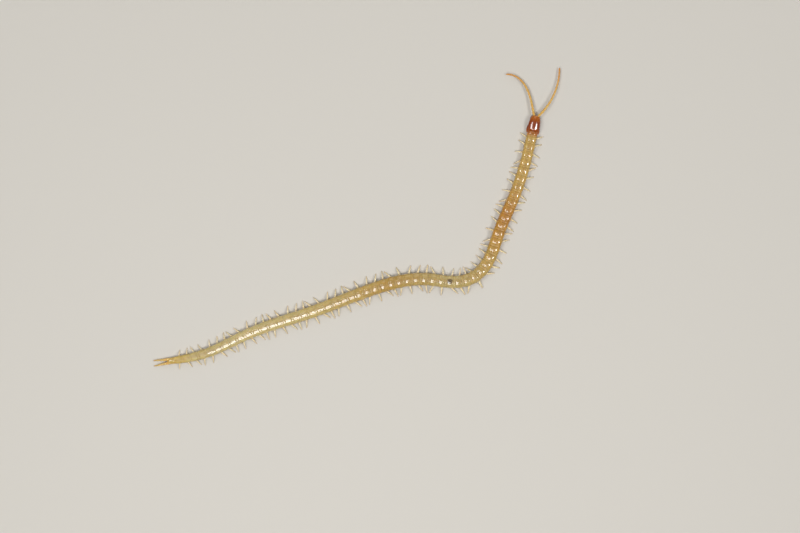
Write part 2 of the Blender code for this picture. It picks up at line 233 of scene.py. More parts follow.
# Colours as seen on a screen, 0 to 255. In a list, each stands behind its share of the piece's length.
BODY_COLOURS = [
    (0.032, 150, 70, 16), (0.0395, 180, 104, 34), (0.045, 198, 155, 80), (0.14, 198, 155, 78),
    (0.21, 184, 121, 38), (0.26, 189, 136, 52), (0.30, 192, 151, 76), (0.40, 190, 163, 104),
    (0.53, 183, 142, 69), (0.68, 200, 169, 103), (0.84, 206, 179, 120), (0.95, 196, 168, 108),
    (0.98, 212, 174, 92), (1.0, 212, 168, 82),
]
LEG_COLOURS = [
    (0.0, 218, 188, 128), (0.35, 238, 218, 176), (0.88, 236, 212, 168), (0.93, 186, 122, 68),
    (1.0, 100, 54, 26),
]
LAST_LEG_COLOURS = [
    (0.0, 214, 174, 92), (0.7, 220, 186, 116), (0.92, 206, 156, 86), (1.0, 96, 50, 24),
]
FEELER_COLOURS = [(0.0, 212, 170, 84), (0.6, 212, 164, 78), (1.0, 206, 140, 56)]
HEAD_COLOURS = [
    (0.0, 190, 114, 16), (0.2, 166, 86, 2), (0.5, 132, 50, 0), (0.8, 134, 52, 0), (1.0, 166, 80, 8),
]
CLAW_COLOURS = [(0.0, 160, 72, 18), (0.58, 140, 52, 10), (0.75, 96, 32, 10), (0.92, 30, 12, 8)]
SOCKET_COLOUR = (206, 150, 84)
MOUTH_COLOUR = (190, 120, 56)
HAIR_COLOUR = (214, 170, 110)
BLOTCHES = (0.86, 1.1)  # how dark and how light they are
GUT_COLOUR = (140, 98, 44)
GUT_EDGE = (0.05, 0.42)  # how far round from the back's middle it fades
FLECK_COLOUR = (62, 52, 34)  # a grey fleck on the back
FLECK_AT = 20.0
FLECK_EDGE = (0.091, 0.156)
FLECK_STRENGTH = 0.8
MIDDLE_OF_NOISE = (0.3, 0.7)  # the range that a noise's values mostly lie in
RELIEF_DEPTH = 0.006
ROUGHNESS_SPREAD = (0.75, 1.25)

# The studio. Lamps are a place in millimetres, a power in watts, a width and a depth in metres.
LAMPS = {
    "east": ((300, -85, 480), 0.98, 0.10, 0.10),
    "west": ((-250, 25, 500), 0.65, 0.12, 0.12),
    "south": ((-12, -54, 165), 0.115, 0.048, 0.078),
    "north": ((30, 270, 260), 0.20, 0.30, 0.30),
}
LAMP_TARGET = (0.0, -0.002, 0.0)
SURROUND_COLOUR, SURROUND_STRENGTH = (1.0, 0.98, 0.95, 1), 0.205
FLOOR_WIDTH, FLOOR_ROUGHNESS = 1.2, 0.7
FLOOR_COLOUR = (204, 200, 192)
LENS, FILM_WIDTH, NEAREST = 100, 36, 0.01


# The body's lines.

def arc_lengths(points):
    return np.concatenate([[0], np.cumsum(np.linalg.norm(np.diff(points, axis=0), axis=1))])


def read_off(places, knots, rows):
    """The rows at the places, between the knots that they belong to."""
    return np.stack([np.interp(places, knots, column) for column in rows.T], axis=-1)


def unit(rows):
    return rows / np.linalg.norm(rows, axis=-1, keepdims=True)


def smooth_line(corners, steps=LINE_STEPS):
    """A smooth curve through the corners, a natural cubic spline, in evenly spread points."""
    knots = arc_lengths(corners)
    wanted = np.linspace(0, knots[-1], steps)
    count = len(knots)
    step = np.diff(knots)
    slope = np.diff(corners, axis=0) / step[:, None]
    system = np.eye(count)
    right = np.zeros_like(corners)
    for k in range(1, count - 1):
        system[k, k - 1:k + 2] = step[k - 1], 2 * (step[k - 1] + step[k]), step[k]
        right[k] = 6 * (slope[k] - slope[k - 1])
    bend = np.linalg.solve(system, right)
    at = np.clip(np.searchsorted(knots, wanted, side="right") - 1, 0, count - 2)
    width = step[at][:, None]
    after = (wanted - knots[at])[:, None]
    before = width - after
    return (
        (bend[at] * before**3 + bend[at + 1] * after**3) / (6 * width)
        + (corners[at] / width - bend[at] * width / 6) * before
        + (corners[at + 1] / width - bend[at + 1] * width / 6) * after
    )


class Route:
    """The way from the straight body to the animal as it lies."""

    def __init__(self):
        self.points = smooth_line(np.array(ROUTE), ROUTE_STEPS)
        self.along = arc_lengths(self.points)
        self.length = self.along[-1]

    def on_line(self, along):
        return read_off(along, self.along, self.points)

    def backwards(self, along):
        low = np.clip(along - TANGENT_HALF, 0, self.length - 2 * TANGENT_HALF)
        return unit(self.on_line(low + 2 * TANGENT_HALF) - self.on_line(low))

    def lay(self, straight):
        """Takes rows of left, along and up to rows of x, y and z."""
        left, along, up = straight.T
        back = self.backwards(along)
        inside = np.clip(along, 0, self.length)
        to_left = np.stack([back[:, 1], -back[:, 0]], axis=-1)
        flat = self.on_line(inside) + back * (along - inside)[:, None] + to_left * left[:, None]
        return np.column_stack([flat, up])


class Section:
    """The trunk's outline across, read by the distance round it from the middle of the back."""

    def __init__(self, steps=720):
        angle = np.linspace(0, math.pi, steps)
        squareness = np.where(angle < math.pi / 2, BACK_SQUARENESS, BELLY_SQUARENESS)
        left = HALF * np.abs(np.sin(angle)) ** (2 / squareness)
        up = TALL / 2 * (1 + np.sign(np.cos(angle)) * np.abs(np.cos(angle)) ** (2 / squareness))
        way = unit(np.column_stack([np.gradient(left), np.gradient(up)]))
        self.outline = np.column_stack([left, up, -way[:, 1], way[:, 0]])
        self.round = arc_lengths(self.outline[:, :2])
        self.half_round = self.round[-1]

    def wrap(self, around, height):
        """Left and up of what lies at a distance round the body and at a height above its skin."""
        around = np.mod(around + self.half_round, 2 * self.half_round) - self.half_round
        left, up, out_left, out_up = read_off(np.abs(around), self.round, self.outline).T
        return np.sign(around) * (left + height * out_left), up + height * out_up


def segment_ends():
    """Where each segment starts and the next one follows, the poison claws' segment first."""
    shares = [1.0] * PAIRS_OF_LEGS
    shares[:len(FIRST_SHARES)] = FIRST_SHARES
    shares[-len(LAST_SHARES):] = LAST_SHARES
    unit = (TRUNK_END - TRUNK_START) / sum(shares)
    return [NECK_START] + [TRUNK_START + unit * sum(shares[:k]) for k in range(PAIRS_OF_LEGS + 1)]


def body_size(along):
    """How wide the trunk is at a place, as a share of the usual segment."""
    return np.interp(along, *zip(*HALF_WIDTHS)) / HALF


route = Route()
section = Section()
ENDS = segment_ends()


# Modelling by hand: a primitive is added, its parts are picked by their place, and tools shape them.

def only(thing):
    """Makes one object the selected and active one."""
    bpy.ops.object.select_all(action="DESELECT")
    thing.select_set(True)
    bpy.context.view_layer.objects.active = thing


@contextlib.contextmanager
def editing(thing):
    only(thing)
    bpy.ops.object.mode_set(mode="EDIT")
    yield
    bpy.ops.object.mode_set(mode="OBJECT")


def near(value, wanted, slack=0.004):
    return abs(value - wanted) < slack


def pick(test, kind="VERT"):
    """Picks the vertices, edges or faces whose middle passes the test."""
    bpy.ops.mesh.select_mode(type=kind)
    bpy.ops.mesh.select_all(action="DESELECT")
    mesh = bmesh.from_edit_mesh(bpy.context.object.data)
    parts = {"VERT": mesh.verts, "EDGE": mesh.edges, "FACE": mesh.faces}[kind]
    for part in parts:
        middle = part.co if kind == "VERT" else sum((v.co for v in part.verts), Vector()) / len(part.verts)
        part.select = test(middle)
    mesh.select_flush_mode()
    bmesh.update_edit_mesh(bpy.context.object.data)


def move(test, x=0.0, y=0.0, z=0.0):
    pick(test)
    bpy.ops.transform.translate(value=(x, y, z))


def narrow(place, share, middle=0.0):
    """Draws the points of a sheet together that lie on one line across it."""
    pick(lambda p: near(p.y, place))
    bpy.ops.transform.resize(value=(share, 1, 1), center_override=(middle, place, 0))


def shift(thing, left):
    """Moves a whole piece to the left."""
    with editing(thing):
        move(lambda p: True, x=left)


def modify(thing, kind, **settings):
    """Adds a modifier and applies it."""
    only(thing)
    modifier = thing.modifiers.new(kind.lower(), kind)
    for name, value in settings.items():
        setattr(modifier, name, value)
    bpy.ops.object.modifier_apply(modifier=modifier.name)


def round_off(thing, times=1):
    modify(thing, "SUBSURF", levels=times, render_levels=times)
    return thing


def sheet(name, half_width, front, rear, columns, rows, middle=0.0):
    """A flat grid to model a plate from."""
    bpy.ops.mesh.primitive_grid_add(x_subdivisions=columns, y_subdivisions=rows, size=2, calc_uvs=False)
    thing = bpy.context.object
    thing.name = name
    with editing(thing):
        bpy.ops.mesh.select_all(action="SELECT")
        bpy.ops.transform.resize(value=(half_width, (rear - front) / 2, 1), center_override=(0, 0, 0))
        bpy.ops.transform.translate(value=(middle, (front + rear) / 2, 0))
    return thing


def domed(name, half, front, rear, columns, rows, height, narrowing=1.0, middle=0.0):
    """A sheet raised to a low dome from front to rear, and narrower in front."""
    plate = sheet(name, half, front, rear, columns, rows, middle)
    with editing(plate):
        for k in range(1, rows):
            place = front + (rear - front) * k / rows
            move(lambda p: near(p.y, place), z=height * math.sin(math.pi * k / rows))
        narrow(front, narrowing, middle)
    return plate


def thicken(plate):
    """Gives a sheet its wall and a rounded rim."""
    modify(plate, "SOLIDIFY", thickness=PLATE_THICKNESS, offset=-1, edge_crease_outer=RIM_CREASE)
    return round_off(plate)


def drawn_out(name, rings, sides, axis):
    """A closed round form drawn out along X or Y. A ring is its place, middle height and two radii."""
    def spot(place, up):
        return (place, 0, up) if axis == "X" else (0, place, up)

    def spread(wide, tall):
        return (1, wide, tall) if axis == "X" else (wide, 1, tall)

    turn = (0, math.pi / 2, 0) if axis == "X" else (math.pi / 2, 0, 0)
    bpy.ops.mesh.primitive_circle_add(
        vertices=sides, radius=1, fill_type="NGON", location=(0, 0, 0), rotation=turn, calc_uvs=False)
    thing = bpy.context.object
    thing.name = name
    bpy.ops.object.transform_apply()
    with editing(thing):
        bpy.ops.mesh.select_all(action="SELECT")
        before = (0.0, 0.0, 1.0, 1.0)
        for k, ring in enumerate(rings):
            place, middle, wide, tall = ring
            step = spot(place - before[0], middle - before[1])
            if k == 0:
                bpy.ops.transform.translate(value=step)
            else:
                bpy.ops.mesh.extrude_region_move(TRANSFORM_OT_translate={"value": step})
            growth = spread(wide / before[2], tall / before[3])
            bpy.ops.transform.resize(value=growth, center_override=spot(place, middle))
            before = ring
        bpy.ops.mesh.select_all(action="SELECT")
        bpy.ops.mesh.normals_make_consistent(inside=False)
    return thing


def rod(name, stations, sides):
    """A closed round rod along X: stations are distances and radii."""
    return drawn_out(name, [(place, 0.0, radius, radius) for place, radius in stations], sides, "X")


def hull(name, rings, sides=16):
    """A closed rounded form along the body: rings are along, half width, underside and top."""
    shaped = [(along, (low + high) / 2, wide, (high - low) / 2) for along, wide, low, high in rings]
    return drawn_out(name, shaped, sides, "Y")


def ring(radius, rim, steps, sides, place, turn=(0, 0, 0)):
    """A round rim, for a pore or a feeler's socket."""
    bpy.ops.mesh.primitive_torus_add(
        major_radius=radius, minor_radius=rim, major_segments=steps, minor_segments=sides,
        location=place, rotation=turn, generate_uvs=False)
    return in_its_mesh(bpy.context.object)


def bristles(name, roots):
    """Fine hairs as thin cones. A root is its place, the way the hair points and its length."""
    made = []
    for place, way, length in roots:
        way = Vector(way).normalized()
        bpy.ops.mesh.primitive_cone_add(
            vertices=3, radius1=HAIR_RADIUS, radius2=0, depth=length, end_fill_type="NOTHING", calc_uvs=False,
            location=Vector(place) + way * length / 2, rotation=way.to_track_quat("Z", "Y").to_euler())
        made.append(bpy.context.object)
    return in_its_mesh(join(made, name))


def in_its_mesh(thing):
    """Takes a piece's place and turn into its mesh."""
    only(thing)
    bpy.ops.object.transform_apply()
    return thing


def join(things, name):
    only(things[0])
    for thing in things:
        thing.select_set(True)
    if len(things) > 1:
        bpy.ops.object.join()
    things[0].name = name
    return things[0]


# Laying the pieces along the body. A placing takes a master's points to their places and to their map.

def keep_map(thing, first, second):
    """Keeps two numbers for each point as the UV map that the materials read."""
    layer = thing.data.uv_layers.new(name="Body")
    corners = np.empty(len(thing.data.loops), dtype=np.int32)
    thing.data.loops.foreach_get("vertex_index", corners)
    layer.data.foreach_set("uv", np.column_stack([first, second])[corners].ravel())


def copies(master, name, placings):
    """Copies the master for each placing, and joins the copies."""
    points = np.empty((len(master.data.vertices), 3))
    master.data.vertices.foreach_get("co", points.ravel())
    made = []
    for placing in placings:
        copy = master.copy()
        copy.data = master.data.copy()
        bpy.context.scene.collection.objects.link(copy)
        places, first, second = placing(points)
        copy.data.vertices.foreach_set("co", places.ravel())
        copy.data.update()
        keep_map(copy, first, second)
        made.append(copy)
    bpy.data.objects.remove(master)
    return join(made, name)


def settle(thing, finish, slot, *nodes):
    """Brings a finished piece to metres, gives it its finish and ties it to the frame."""
    only(thing)
    thing.data.transform(Matrix.Scale(METRES, 4))
    thing.data.materials.clear()
    thing.data.materials.append(finishes[finish])
    bpy.ops.object.shade_smooth()
    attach(thing, "root")
    if nodes:
        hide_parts(*nodes)


def lay_out(master, name, placings, finish, slot, *nodes):
    """Makes a finished piece of a master's copies."""
    settle(copies(master, name, placings), finish, slot, *nodes)


def on_segment(k, unevenness=0.0):
    """Lays a plate modelled on the usual segment round segment k of the body."""
    front, length = ENDS[k], ENDS[k + 1] - ENDS[k]
    lift = random.Random(k).uniform(-unevenness, unevenness)

    def placing(points):
        around, lengthwise, height = points.T
        along = front + lengthwise / PITCH * length
        size = body_size(along)
        left, up = section.wrap(around, height + lift)
        straight = np.column_stack([left * size, along, BELLY_UP + up * size])
        return route.lay(straight), around, along

    return placing


def on_segments(start, end):
    """Placings on each segment that starts between two places, each a little higher or lower."""
    return [on_segment(k, PLATE_UNEVENNESS) for k in range(1, PAIRS_OF_LEGS + 1) if start <= ENDS[k] < end]


def in_body(unit=1.0):
    """Lays what is modelled in the straight body. Its map counts the distance behind the front in units."""
    def placing(points):
        return route.lay(points), points[:, 0], points[:, 1] / unit

    return placing


def bend(points, length, line):
    """Takes points modelled along X to a curved line, each keeping its distance from it."""
    knots = arc_lengths(line)
    share = points[:, 0] / length * knots[-1]
    way = unit(read_off(share, knots, np.gradient(line, axis=0)))
    side = unit(np.cross(np.array([0, 0, 1.0]), way))
    rise = np.cross(way, side)
    return read_off(share, knots, line) + side * points[:, 1:2] + rise * points[:, 2:3]


def on_curve(corners, length, flatness=1.0):
    """Bends what is modelled along X to a smooth line in the straight body, and lays it."""
    line = smooth_line(np.array(corners))

    def placing(points):
        bent = bend(points * np.array([1, 1, flatness]), length, line)
        return route.lay(bent), points[:, 0] / length, points[:, 1]

    return placing


# Finishes.

def linear(colour):
    """A colour as seen on a screen, 0 to 255, as the materials take it."""
    shares = (value / 255 for value in colour)
    return *(v / 12.92 if v <= 0.04045 else ((v + 0.055) / 1.055) ** 2.4 for v in shares), 1


class Nodes:
    """Adds nodes to one tree. A socket's value is either a number, a colour or another node's output."""

    def __init__(self, tree):
        self.tree = tree

    def add(self, kind, inputs=None, **settings):
        node = self.tree.nodes.new(kind)
        for name, value in settings.items():
            setattr(node, name, value)
        for name, value in (inputs or {}).items():
            if isinstance(value, bpy.types.NodeSocket):
                self.tree.links.new(value, node.inputs[name])
            else:
                node.inputs[name].default_value = value
        return node

    def math(self, operation, *values):
        return self.add("ShaderNodeMath", dict(enumerate(values)), operation=operation).outputs["Value"]

    def noise(self, place, scale, detail):
        noise = self.add("ShaderNodeTexNoise", {"Vector": place, "Scale": scale, "Detail": detail})
        return noise.outputs["Fac"]

    def spread(self, value, source, result, **settings):
        """Takes a range of a value to another range."""
        ends = {"From Min": source[0], "From Max": source[1], "To Min": result[0], "To Max": result[1]}
        return self.add("ShaderNodeMapRange", {"Value": value, **ends}, **settings).outputs["Result"]

    def mix(self, factor, first, second, **settings):
        mix = self.add("ShaderNodeMix", {"Factor": factor, "A": first, "B": second}, **settings)
        return mix.outputs["Result"]

    def ramp(self, value, stops):
        """Colours between stops, each a place and a colour."""
        node = self.add("ShaderNodeValToRGB", {"Fac": value})
        band = node.color_ramp
        while len(band.elements) > 1:
            band.elements.remove(band.elements[-1])
        for k, (place, *colour) in enumerate(stops):
            stop = band.elements[0] if k == 0 else band.elements.new(place)
            stop.position = place
            stop.color = linear(colour)
        return node.outputs["Color"]


def new_group(name, inputs, output, kind):
    """A node group of one output. It takes the piece's map, and numbers that start with a value."""
    group = bpy.data.node_groups.new(name, "ShaderNodeTree")
    group.interface.new_socket("Map", in_out="INPUT", socket_type="NodeSocketVector")
    for socket, value in inputs.items():
        made = group.interface.new_socket(socket, in_out="INPUT", socket_type="NodeSocketFloat")
        made.default_value = value
    group.interface.new_socket(output, in_out="OUTPUT", socket_type=kind)
    nodes = Nodes(group)
    return nodes, nodes.add("NodeGroupInput").outputs, nodes.add("NodeGroupOutput").inputs[output]


def cuticle_relief():
    """Fine relief of hardened skin: small scales and soft unevenness."""
    inputs = {"Scales per mm": 40.0, "Softness": 0.4}
    nodes, given, height = new_group("Cuticle relief", inputs, "Height", "NodeSocketFloat")
    place = given["Map"]
    scales = nodes.add(
        "ShaderNodeTexVoronoi", {"Vector": place, "Scale": given["Scales per mm"]}, feature="SMOOTH_F1")
    uneven = nodes.noise(place, 6.0, 3.0)
    nodes.tree.links.new(nodes.mix(given["Softness"], scales.outputs["Distance"], uneven), height)


def body_tint():
    """The trunk's colour along the body, with faint blotches, a gut that shows through, and a fleck."""
    inputs = {"Gut": 0.25, "Paleness": 1.0}
    nodes, given, result = new_group("Body tint", inputs, "Color", "NodeSocketColor")
    place = given["Map"]
    split = nodes.add("ShaderNodeSeparateXYZ", {"Vector": place}).outputs
    colour = nodes.ramp(nodes.math("DIVIDE", split["Y"], TRUNK_END), BODY_COLOURS)
    blotches = nodes.noise(place, 1.6, 3.0)
    light = nodes.spread(blotches, MIDDLE_OF_NOISE, BLOTCHES)
    light = nodes.math("MULTIPLY", light, given["Paleness"])
    colour = nodes.mix(1.0, colour, light, data_type="RGBA", blend_type="MULTIPLY")
    far = nodes.math("ABSOLUTE", split["X"])
    gut = nodes.spread(far, GUT_EDGE, (1.0, 0.0), interpolation_type="SMOOTHSTEP")
    gut = nodes.math("MULTIPLY", gut, given["Gut"])
    colour = nodes.mix(gut, colour, linear(GUT_COLOUR), data_type="RGBA")
    away = nodes.add("ShaderNodeVectorMath", {0: place, 1: (0.0, FLECK_AT, 0.0)}, operation="DISTANCE")
    away = nodes.math("MULTIPLY", away.outputs["Value"], blotches)
    fleck = nodes.spread(away, FLECK_EDGE, (FLECK_STRENGTH, 0.0), interpolation_type="SMOOTHSTEP")
    colour = nodes.mix(fleck, colour, linear(FLECK_COLOUR), data_type="RGBA")
    nodes.tree.links.new(colour, result)


def tinted(gut, paleness=1.0):
    """The trunk's colour, read from the piece's map."""
    def build(nodes, place):
        inputs = {"Map": place, "Gut": gut, "Paleness": paleness}
        group = nodes.add("ShaderNodeGroup", inputs, node_tree=bpy.data.node_groups["Body tint"])
        return group.outputs["Color"]

    return build


def ramped(stops, axis="X"):
    """Colour stops along the piece, read from its map."""
    def build(nodes, place):
        split = nodes.add("ShaderNodeSeparateXYZ", {"Vector": place})
        return nodes.ramp(split.outputs[axis], stops)

    return build


def shell(name, colour, roughness=0.3, coat=0.3, coat_roughness=0.08, coat_ior=1.5, subsurface=0.3,
          radius=(0.5, 0.25, 0.1), bump=0.35, scales=34.0):
    """A translucent hardened skin. Its colour is plain, or made by nodes that a function adds."""
    made = bpy.data.materials.new(name)
    made.use_nodes = True
    nodes = Nodes(made.node_tree)
    link = made.node_tree.links.new
    skin = made.node_tree.nodes["Principled BSDF"].inputs
    place = nodes.add("ShaderNodeUVMap", uv_map="Body").outputs["UV"]
    if callable(colour):
        link(colour(nodes, place), skin["Base Color"])
    else:
        skin["Base Color"].default_value = linear(colour)
    wetness = nodes.noise(place, 3.0, 2.0)
    rough = nodes.spread(wetness, MIDDLE_OF_NOISE, [roughness * share for share in ROUGHNESS_SPREAD])
    link(rough, skin["Roughness"])
    relief = nodes.add(
        "ShaderNodeGroup", {"Map": place, "Scales per mm": scales},
        node_tree=bpy.data.node_groups["Cuticle relief"])
    height = {"Strength": bump, "Distance": RELIEF_DEPTH * METRES, "Height": relief.outputs["Height"]}
    link(nodes.add("ShaderNodeBump", height).outputs["Normal"], skin["Normal"])
    constants = {
        "Coat Weight": coat, "Coat Roughness": coat_roughness, "Coat IOR": coat_ior, "IOR": 1.5,
        "Subsurface Weight": subsurface, "Subsurface Radius": radius, "Subsurface Scale": METRES,
    }
    for socket, value in constants.items():
        skin[socket].default_value = value
    return made


def make_finishes():
    cuticle_relief()
    body_tint()
    plate = {"subsurface": 0.28, "bump": 0.3}
    return {
        "skin": shell("trunk_skin", tinted(0.1, 1.25), roughness=0.45, coat=0.1, bump=0.6, scales=22.0),
        "back": shell("back_plates", tinted(0.3, 1.05), coat=0.95, coat_roughness=0.05, **plate),
        "wet": shell("wet_back_plates", tinted(0.34, 1.07), coat=1.0, coat_roughness=0.13, coat_ior=1.6,
                     **plate),
        "dry": shell("dry_plates", tinted(0.3, 1.08), roughness=0.45, coat=0.2, coat_roughness=0.3, **plate),
        "belly": shell("belly_plates", tinted(0.0), subsurface=0.25),
        "leg": shell("leg_cuticle", ramped(LEG_COLOURS), radius=(0.3, 0.22, 0.14)),
        "head": shell("head_cuticle", ramped(HEAD_COLOURS, "Y"), roughness=0.2, coat=0.8, subsurface=0.08,
                      radius=(0.3, 0.12, 0.04), bump=0.2),
        "claw": shell("claw_cuticle", ramped(CLAW_COLOURS), roughness=0.2, coat=0.7, subsurface=0.1,
                      radius=(0.4, 0.12, 0.04)),
        "feeler": shell("feeler_cuticle", ramped(FEELER_COLOURS), roughness=0.4, coat=0.15),
        "last_leg": shell("last_leg_cuticle", ramped(LAST_LEG_COLOURS)),
        "socket": shell("socket_skin", SOCKET_COLOUR, roughness=0.4, coat=0.1),
        "mouth": shell("mouthpart_cuticle", MOUTH_COLOUR),
        "hair": shell("hair", HAIR_COLOUR, roughness=0.4, coat=0.0, subsurface=0.0),
    }


# The trunk.

def skin_of_a_segment():
    """The soft skin of one segment, unrolled, with the fold where the next segment slides in."""
    skin = sheet("skin", section.half_round, 0, PITCH, SKIN_COLUMNS, SKIN_ROWS)
    step = PITCH / SKIN_ROWS
    with editing(skin):
        move(lambda p: True, z=-SKIN_SINK)
        move(lambda p: near(p.y, 0) or near(p.y, PITCH), z=-JOINT_SINK)
        move(lambda p: near(p.y, step) or near(p.y, PITCH - step), z=-JOINT_SINK / 2)
        for fold in SKIN_FOLDS:
            move(lambda p: abs(abs(p.x) - fold) < section.half_round / SKIN_COLUMNS, z=-FOLD_SINK)
    return skin


def furrow(place):
    """Cuts one of the furrows that run along a back plate."""
    def inside(p):
        return near(p.x, place) and BACK_FRONT + FURROW_MARGIN < p.y < BACK_REAR - FURROW_MARGIN

    pick(inside, "EDGE")
    bpy.ops.mesh.bevel(offset=FURROW_WIDTH, offset_type="OFFSET", segments=2, affect="EDGES")
    move(inside, z=-FURROW_DEPTH)


def back_plate(height):
    """The large plate on a segment's back: narrower in front, with a furrow on each side."""
    plate = domed("back_plate", *BACK_PLATE, 12, 5, height)
    with editing(plate):
        move(lambda p: near(abs(p.x), BACK_HALF), z=-BACK_SIDE_SINK)
        move(lambda p: near(p.y, BACK_REAR), z=BACK_REAR_LIFT)
        furrow(-FURROW_LEFT)
        furrow(FURROW_LEFT)
        narrow(BACK_FRONT, BACK_NARROWING)
    return thicken(plate)


def last_plate():
    """The back plate of the last pair of legs, which narrows like a shield."""
    rows = len(LAST_PLATE_SHAPE) - 1
    plate = sheet("last_plate", 1, 0, rows, 8, rows)
    with editing(plate):
        for k, (along, wide) in reversed(list(enumerate(LAST_PLATE_SHAPE))):
            pick(lambda p: near(p.y, k))
            bpy.ops.transform.resize(value=(wide, 1, 1), center_override=(0, k, 0))
            bpy.ops.transform.translate(value=(0, along - k, BACK_DOME * math.sin(math.pi * k / rows)))
    return thicken(plate)


def front_plate(height, sunk):
    """The narrow plate in front of the large one."""
    plate = domed("front_plate", *FRONT_PLATE, 8, 2, height, FRONT_PLATE_NARROWING)
    with editing(plate):
        move(lambda p: True, z=-sunk)
    return thicken(plate)


def neck_plate():
    """The small plate on the poison claws' segment, behind the head."""
    return thicken(domed("neck_plate", *NECK_PLATE, 10, 4, NECK_DOME, NECK_NARROWING))


def belly_plate():
    """The plate below, with a shallow pit for its pores behind the middle."""
    middle = section.half_round
    plate = domed("belly_plate", *BELLY_PLATE, 7, 5, BELLY_DOME, BELLY_NARROWING, middle)
    with editing(plate):
        pick(lambda p: abs(p.x - middle) < PIT_HALF and PIT_FRONT < p.y < PIT_REAR, "FACE")
        bpy.ops.mesh.inset(thickness=PIT_RIM, depth=-PIT_DEPTH)
    return thicken(plate)


def front_belly_plate():
    """The narrow plate in front of the belly's large one."""
    middle = section.half_round
    return thicken(domed("front_belly_plate", *FRONT_BELLY_PLATE, 6, 2, FRONT_BELLY_DOME, middle=middle))


def side_plate(side):
    """The plates between back and leg, and the rim of the breathing pore."""
    plates = []
    for middle, half, front, rear in SIDE_PLATES:
        plate = domed("side_plate", half, front, rear, 3, 4, SIDE_DOME, SIDE_NARROWING, side * middle)
        with editing(plate):
            narrow(rear, SIDE_NARROWING, side * middle)
        plates.append(thicken(plate))
    pore = ring(PORE_RADIUS, PORE_RIM, 12, 6, (side * PORE_ROUND, PORE_ALONG, PORE_UP))
    return join([*plates, pore], "side_plate")


def plate_hairs(name, middle, half, rows, height, draw):
    """Short hairs in rows across a plate, all leaning back."""
    roots = []
    for place, count in rows:
        for k in range(count):
            share = (k + 0.5) / count * 2 - 1 + draw.uniform(-0.06, 0.06)
            along = place + draw.uniform(-0.02, 0.02)
            root = (middle + share * half, along, height)
            roots.append((root, (share * 0.3, 0.9, 0.9), draw.uniform(*PLATE_HAIR)))
    return bristles(name, roots)


def make_trunk():
    each = [on_segment(k) for k in range(1, PAIRS_OF_LEGS + 1)]
    draw = random.Random(SEED)
    skin = copies(skin_of_a_segment(), "trunk_skin", [on_segment(0), *each])
    with editing(skin):
        bpy.ops.mesh.select_all(action="SELECT")
        bpy.ops.mesh.remove_doubles(threshold=WELD)
        bpy.ops.mesh.select_all(action="DESELECT")
        bpy.ops.mesh.select_mode(type="EDGE")
        bpy.ops.mesh.select_non_manifold()
        bpy.ops.mesh.edge_face_add()
    settle(skin, "skin", "trunk", *[f"trunk_{k:02d}" for k in range(1, 13)], "claw_segment")
    lay_out(neck_plate(), "neck_plate", [on_segment(0)], "back", "trunk")

    plates = [copies(back_plate(dome), "back_plates", on_segments(*stretch)) for *stretch, dome in DOMES]
    settle(join(plates, "back_plates"), "back", "trunk")
    wet = on_segments(*WET_STRETCH)
    lay_out(back_plate(WET_DOME), "wet_back_plates", wet, "wet", "trunk")
    behind = on_segments(WET_STRETCH[1], TRUNK_END)
    lay_out(back_plate(BACK_DOME), "dry_back_plates", behind[:-1], "dry", "trunk")
    lay_out(last_plate(), "last_plate", [on_segment(PAIRS_OF_LEGS)], "back", "trunk")
    dry = on_segments(0, WET_STRETCH[0]) + behind
    lay_out(front_plate(*DRY_FRONT_PLATE), "front_plates", dry, "dry", "trunk")
    lay_out(front_plate(*WET_FRONT_PLATE), "wet_front_plates", wet, "wet", "trunk")

    lay_out(belly_plate(), "belly_plates", each, "belly", "trunk")
    lay_out(front_belly_plate(), "front_belly_plates", each, "belly", "trunk")
    for name, side in SIDES.items():
        lay_out(side_plate(side), f"side_plates_{name}", each, "belly", "trunk")
    hairs = plate_hairs("back_hair", 0.0, BACK_HALF * 0.9, BACK_HAIR_ROWS, BACK_DOME - 0.004, draw)
    lay_out(hairs, "back_hairs", each, "hair", "trunk")
    hairs = plate_hairs("belly_hair", section.half_round, BELLY_PLATE[0] * 0.85, BELLY_HAIR_ROWS, 0.0, draw)
    lay_out(hairs, "belly_hairs", each, "hair", "trunk")


# The legs.

def jointed(articles, length):
    """Stations of a limb: each article swells a little and ends in a narrow joint, and a claw follows."""
    stations = [(along, articles[0][1] * share) for along, share in ROOT_STATIONS]
    start = 0.0
    for end, radius in articles:
        stations += [(start + at * (end - start), radius * share) for at, share in SWELLING]
        stations += [(end - before, radius * share) for before, share in JOINT]
        start = end
    root, radius = TARSAL_CLAW_ROOT
    stations.append((start + root, radius))
    return stations + [(start + at * (length - start), radius) for at, radius in TARSAL_CLAW]


def limb_hairs(name, articles, per_article, draw):
    """Hairs on a straight limb, leaning towards its tip."""
    roots = []
    start = 0.0
    for end, radius in articles:
        for k in range(per_article):
            angle = 2 * math.pi * (k + draw.random()) / per_article
            y, z = math.cos(angle), math.sin(angle)
            along = start + (end - start) * draw.uniform(0.45, 0.9)
            place = (along, y * radius * 0.9, z * radius * 0.9)
            roots.append((place, (0.9, y, z), draw.uniform(*LIMB_HAIR)))
        start = end
    return bristles(name, roots)


def swing(index, wave, draw):
    """How far a leg is swung back, in the wave of steps that runs along its side."""
    phase = 0.5 + 0.5 * math.cos(2 * math.pi * (index - wave["peak"]) / wave["period"])
    turn = wave["ahead"] + (wave["back"] - wave["ahead"]) * phase ** wave["sharpness"]
    return math.radians(turn) + draw.uniform(-SWING_SPREAD, SWING_SPREAD)


